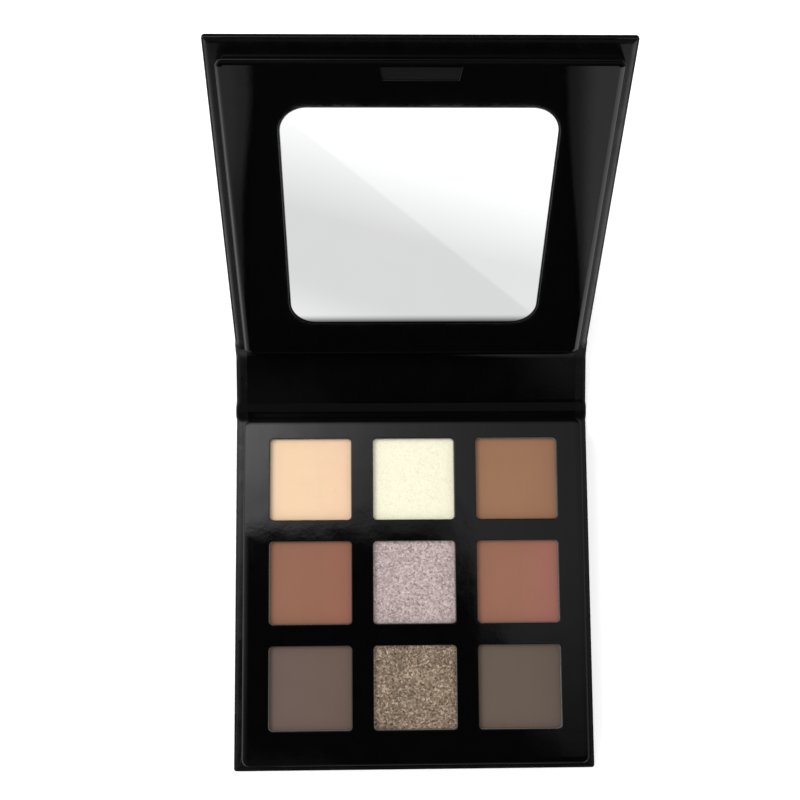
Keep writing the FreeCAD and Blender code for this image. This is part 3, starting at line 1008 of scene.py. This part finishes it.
def paint_mirror_card(tree, x, y, z):
    """White at the top right, pale grey below a soft slanting edge, dark along its foot."""
    slope = calc(tree, "MULTIPLY_ADD", z, 1.087, calc(tree, "MULTIPLY_ADD", x, 0.286, -5.0))
    base = calc(tree, "MULTIPLY_ADD", calc(tree, "MAXIMUM", slope), 0.0038, 0.755)
    edge = calc(tree, "MULTIPLY_ADD", x, 176, calc(tree, "MULTIPLY", z, 223))
    upper = ramp_between(tree, edge, 8200, 9400, 0.0, 0.085)
    corner = calc(tree, "MULTIPLY_ADD", x, -0.35, calc(tree, "MULTIPLY", z, -1.0))
    glow = ramp_between(tree, corner, 60, 112, 0.0, 0.16)
    foot = ramp_between(tree, z, -80, -71, 0.04, 1.0)
    return calc(tree, "MULTIPLY", calc(tree, "ADD", calc(tree, "ADD", base, upper), glow), foot)


def past_edge(tree, x, z, foot, head):
    """How far x lies to the right of a card's inner edge, which leans from foot to head."""
    rise = ramp_between(tree, z, foot[1], head[1], 0.0, head[0] - foot[0])
    return calc(tree, "SUBTRACT", calc(tree, "SUBTRACT", x, foot[0]), rise)


def paint_left_card(tree, x, y, z):
    """Dim and soft-edged where the lid's flat faces see it, brighter to the side and low down."""
    past = past_edge(tree, x, z, *LEFT_EDGE)
    wide = ramp_between(tree, z, *CARD_HEIGHTS, 1.5, 5.5)
    share = calc(tree, "DIVIDE", past, wide)
    soft = calc(tree, "ADD", ramp_between(tree, share, 1.0, -1.0, 0.0, 0.74),
                ramp_between(tree, share, -1.0, -4.0, 0.0, 0.30))
    flat = calc(tree, "MULTIPLY", soft, ramp_between(tree, z, 20, 85, 0.27, 0.43))
    far = ramp_between(tree, x, -150, -620)
    low = ramp_between(tree, z, 150, -60, 0.3, 2.2)
    return calc(tree, "MULTIPLY_ADD", far, low, flat)


def paint_right_card(tree, x, y, z):
    """Rising softly from its edge, over a longer way higher up, and brightest to the side."""
    past = past_edge(tree, x, z, *RIGHT_EDGE)
    share = calc(tree, "DIVIDE", past, ramp_between(tree, z, *CARD_HEIGHTS, 7.0, 34.0))
    soft = calc(tree, "ADD", ramp_between(tree, share, -0.05, 0.15, 0.0, 0.30),
                ramp_between(tree, share, 0.15, 1.0, 0.0, 0.75))
    side = calc(tree, "ADD", ramp_between(tree, x, 214, 232, 0.0, 0.6),
                ramp_between(tree, x, 240, 560, 0.0, 0.6))
    return calc(tree, "MULTIPLY_ADD", soft, 0.6, side)


def side_card(outer_x, foot, head, margin):
    """A card's corners, from its outer side to its inner edge and a margin past it."""
    low, high = CARD_REACH
    return [(outer_x, FRONT_Y, low), (foot[0] + margin, FRONT_Y, low),
            (foot[0] + margin, FRONT_Y, foot[1]), (head[0] + margin, FRONT_Y, head[1]),
            (head[0] + margin, FRONT_Y, high), (outer_x, FRONT_Y, high)]


def build_reflectors():
    reflector("overhead_card", level_square(CARD_OUTER, OVERHEAD_Z), paint_overhead)
    low, high = box_of("lid", "mirror")
    outline = rounded_outline(low, high, MIRROR_CORNER)
    reflector("mirror_card", [seen_in_mirror((x, y, high.z)) for x, y in outline],
              paint_mirror_card)
    reflector("left_card", side_card(-CARD_OUTER, *LEFT_EDGE, CARD_MARGIN), paint_left_card)
    reflector("right_card", side_card(CARD_OUTER, *RIGHT_EDGE, -CARD_MARGIN), paint_right_card)


def build_world():
    """Pale all round for soft light; in reflections mostly dark, with a bright left and right.

    The ramps run over the parts of a direction along X, Y and Z.
    """
    world = bpy.data.worlds.new("studio")
    scene.world = world
    world.use_nodes = True
    tree = world.node_tree
    tree.nodes.clear()
    way = add_node(tree, "ShaderNodeTexCoord").outputs["Generated"]
    axes = add_node(tree, "ShaderNodeSeparateXYZ", {"Vector": way}).outputs
    left = ramp_between(tree, axes["X"], -0.35, -0.95, 0.0, 1.6)
    right = ramp_between(tree, axes["X"], 0.3, 0.95, 0.0, 0.5)
    above = calc(tree, "MULTIPLY", ramp_between(tree, axes["Z"], 0.2, 0.5, 0.0, 0.11),
                 ramp_between(tree, axes["Y"], 0.2, -0.3))
    below = ramp_between(tree, axes["Z"], -0.25, -0.6, 0.0, 0.2)
    sides = calc(tree, "MAXIMUM", left, right)
    seen = calc(tree, "MAXIMUM", sides, calc(tree, "ADD", above, below))
    seen = calc(tree, "ADD", seen, 0.006)
    shiny = add_node(tree, "ShaderNodeBackground", {"Strength": seen})
    pale = add_node(tree, "ShaderNodeBackground", {"Color": rgba(1, 1, 1), "Strength": 1.0})
    glossy = add_node(tree, "ShaderNodeLightPath").outputs["Is Glossy Ray"]
    mixed = add_node(tree, "ShaderNodeMixShader", {0: glossy, 1: pale.outputs[0],
                                                   2: shiny.outputs[0]})
    output = add_node(tree, "ShaderNodeOutputWorld")
    tree.links.new(mixed.outputs[0], output.inputs["Surface"])


def build_key_light():
    """A broad soft lamp from the back left. It leaves no image in the gloss."""
    data = bpy.data.lights.new("key_light", "AREA")
    data.shape = "DISK"
    data.size = 0.7
    data.energy = 9.0
    light = add_object("key_light", data)
    light.location = (-0.75, 0.35, 1.0)
    light.rotation_euler = (-light.location).to_track_quat("-Z", "Y").to_euler()
    light.visible_camera = False
    light.visible_glossy = False


def build_camera():
    data = bpy.data.cameras.new("camera")
    data.sensor_width = 36.0
    data.lens = 56.0
    camera = add_object("camera", data)
    camera.location = CAMERA_SPOT * MM
    camera.rotation_euler = [math.radians(angle) for angle in CAMERA_TURN]
    data.clip_start = 0.02
    data.clip_end = 20.0
    scene.camera = camera


build_floor()
build_reflectors()
build_world()
build_key_light()
build_camera()
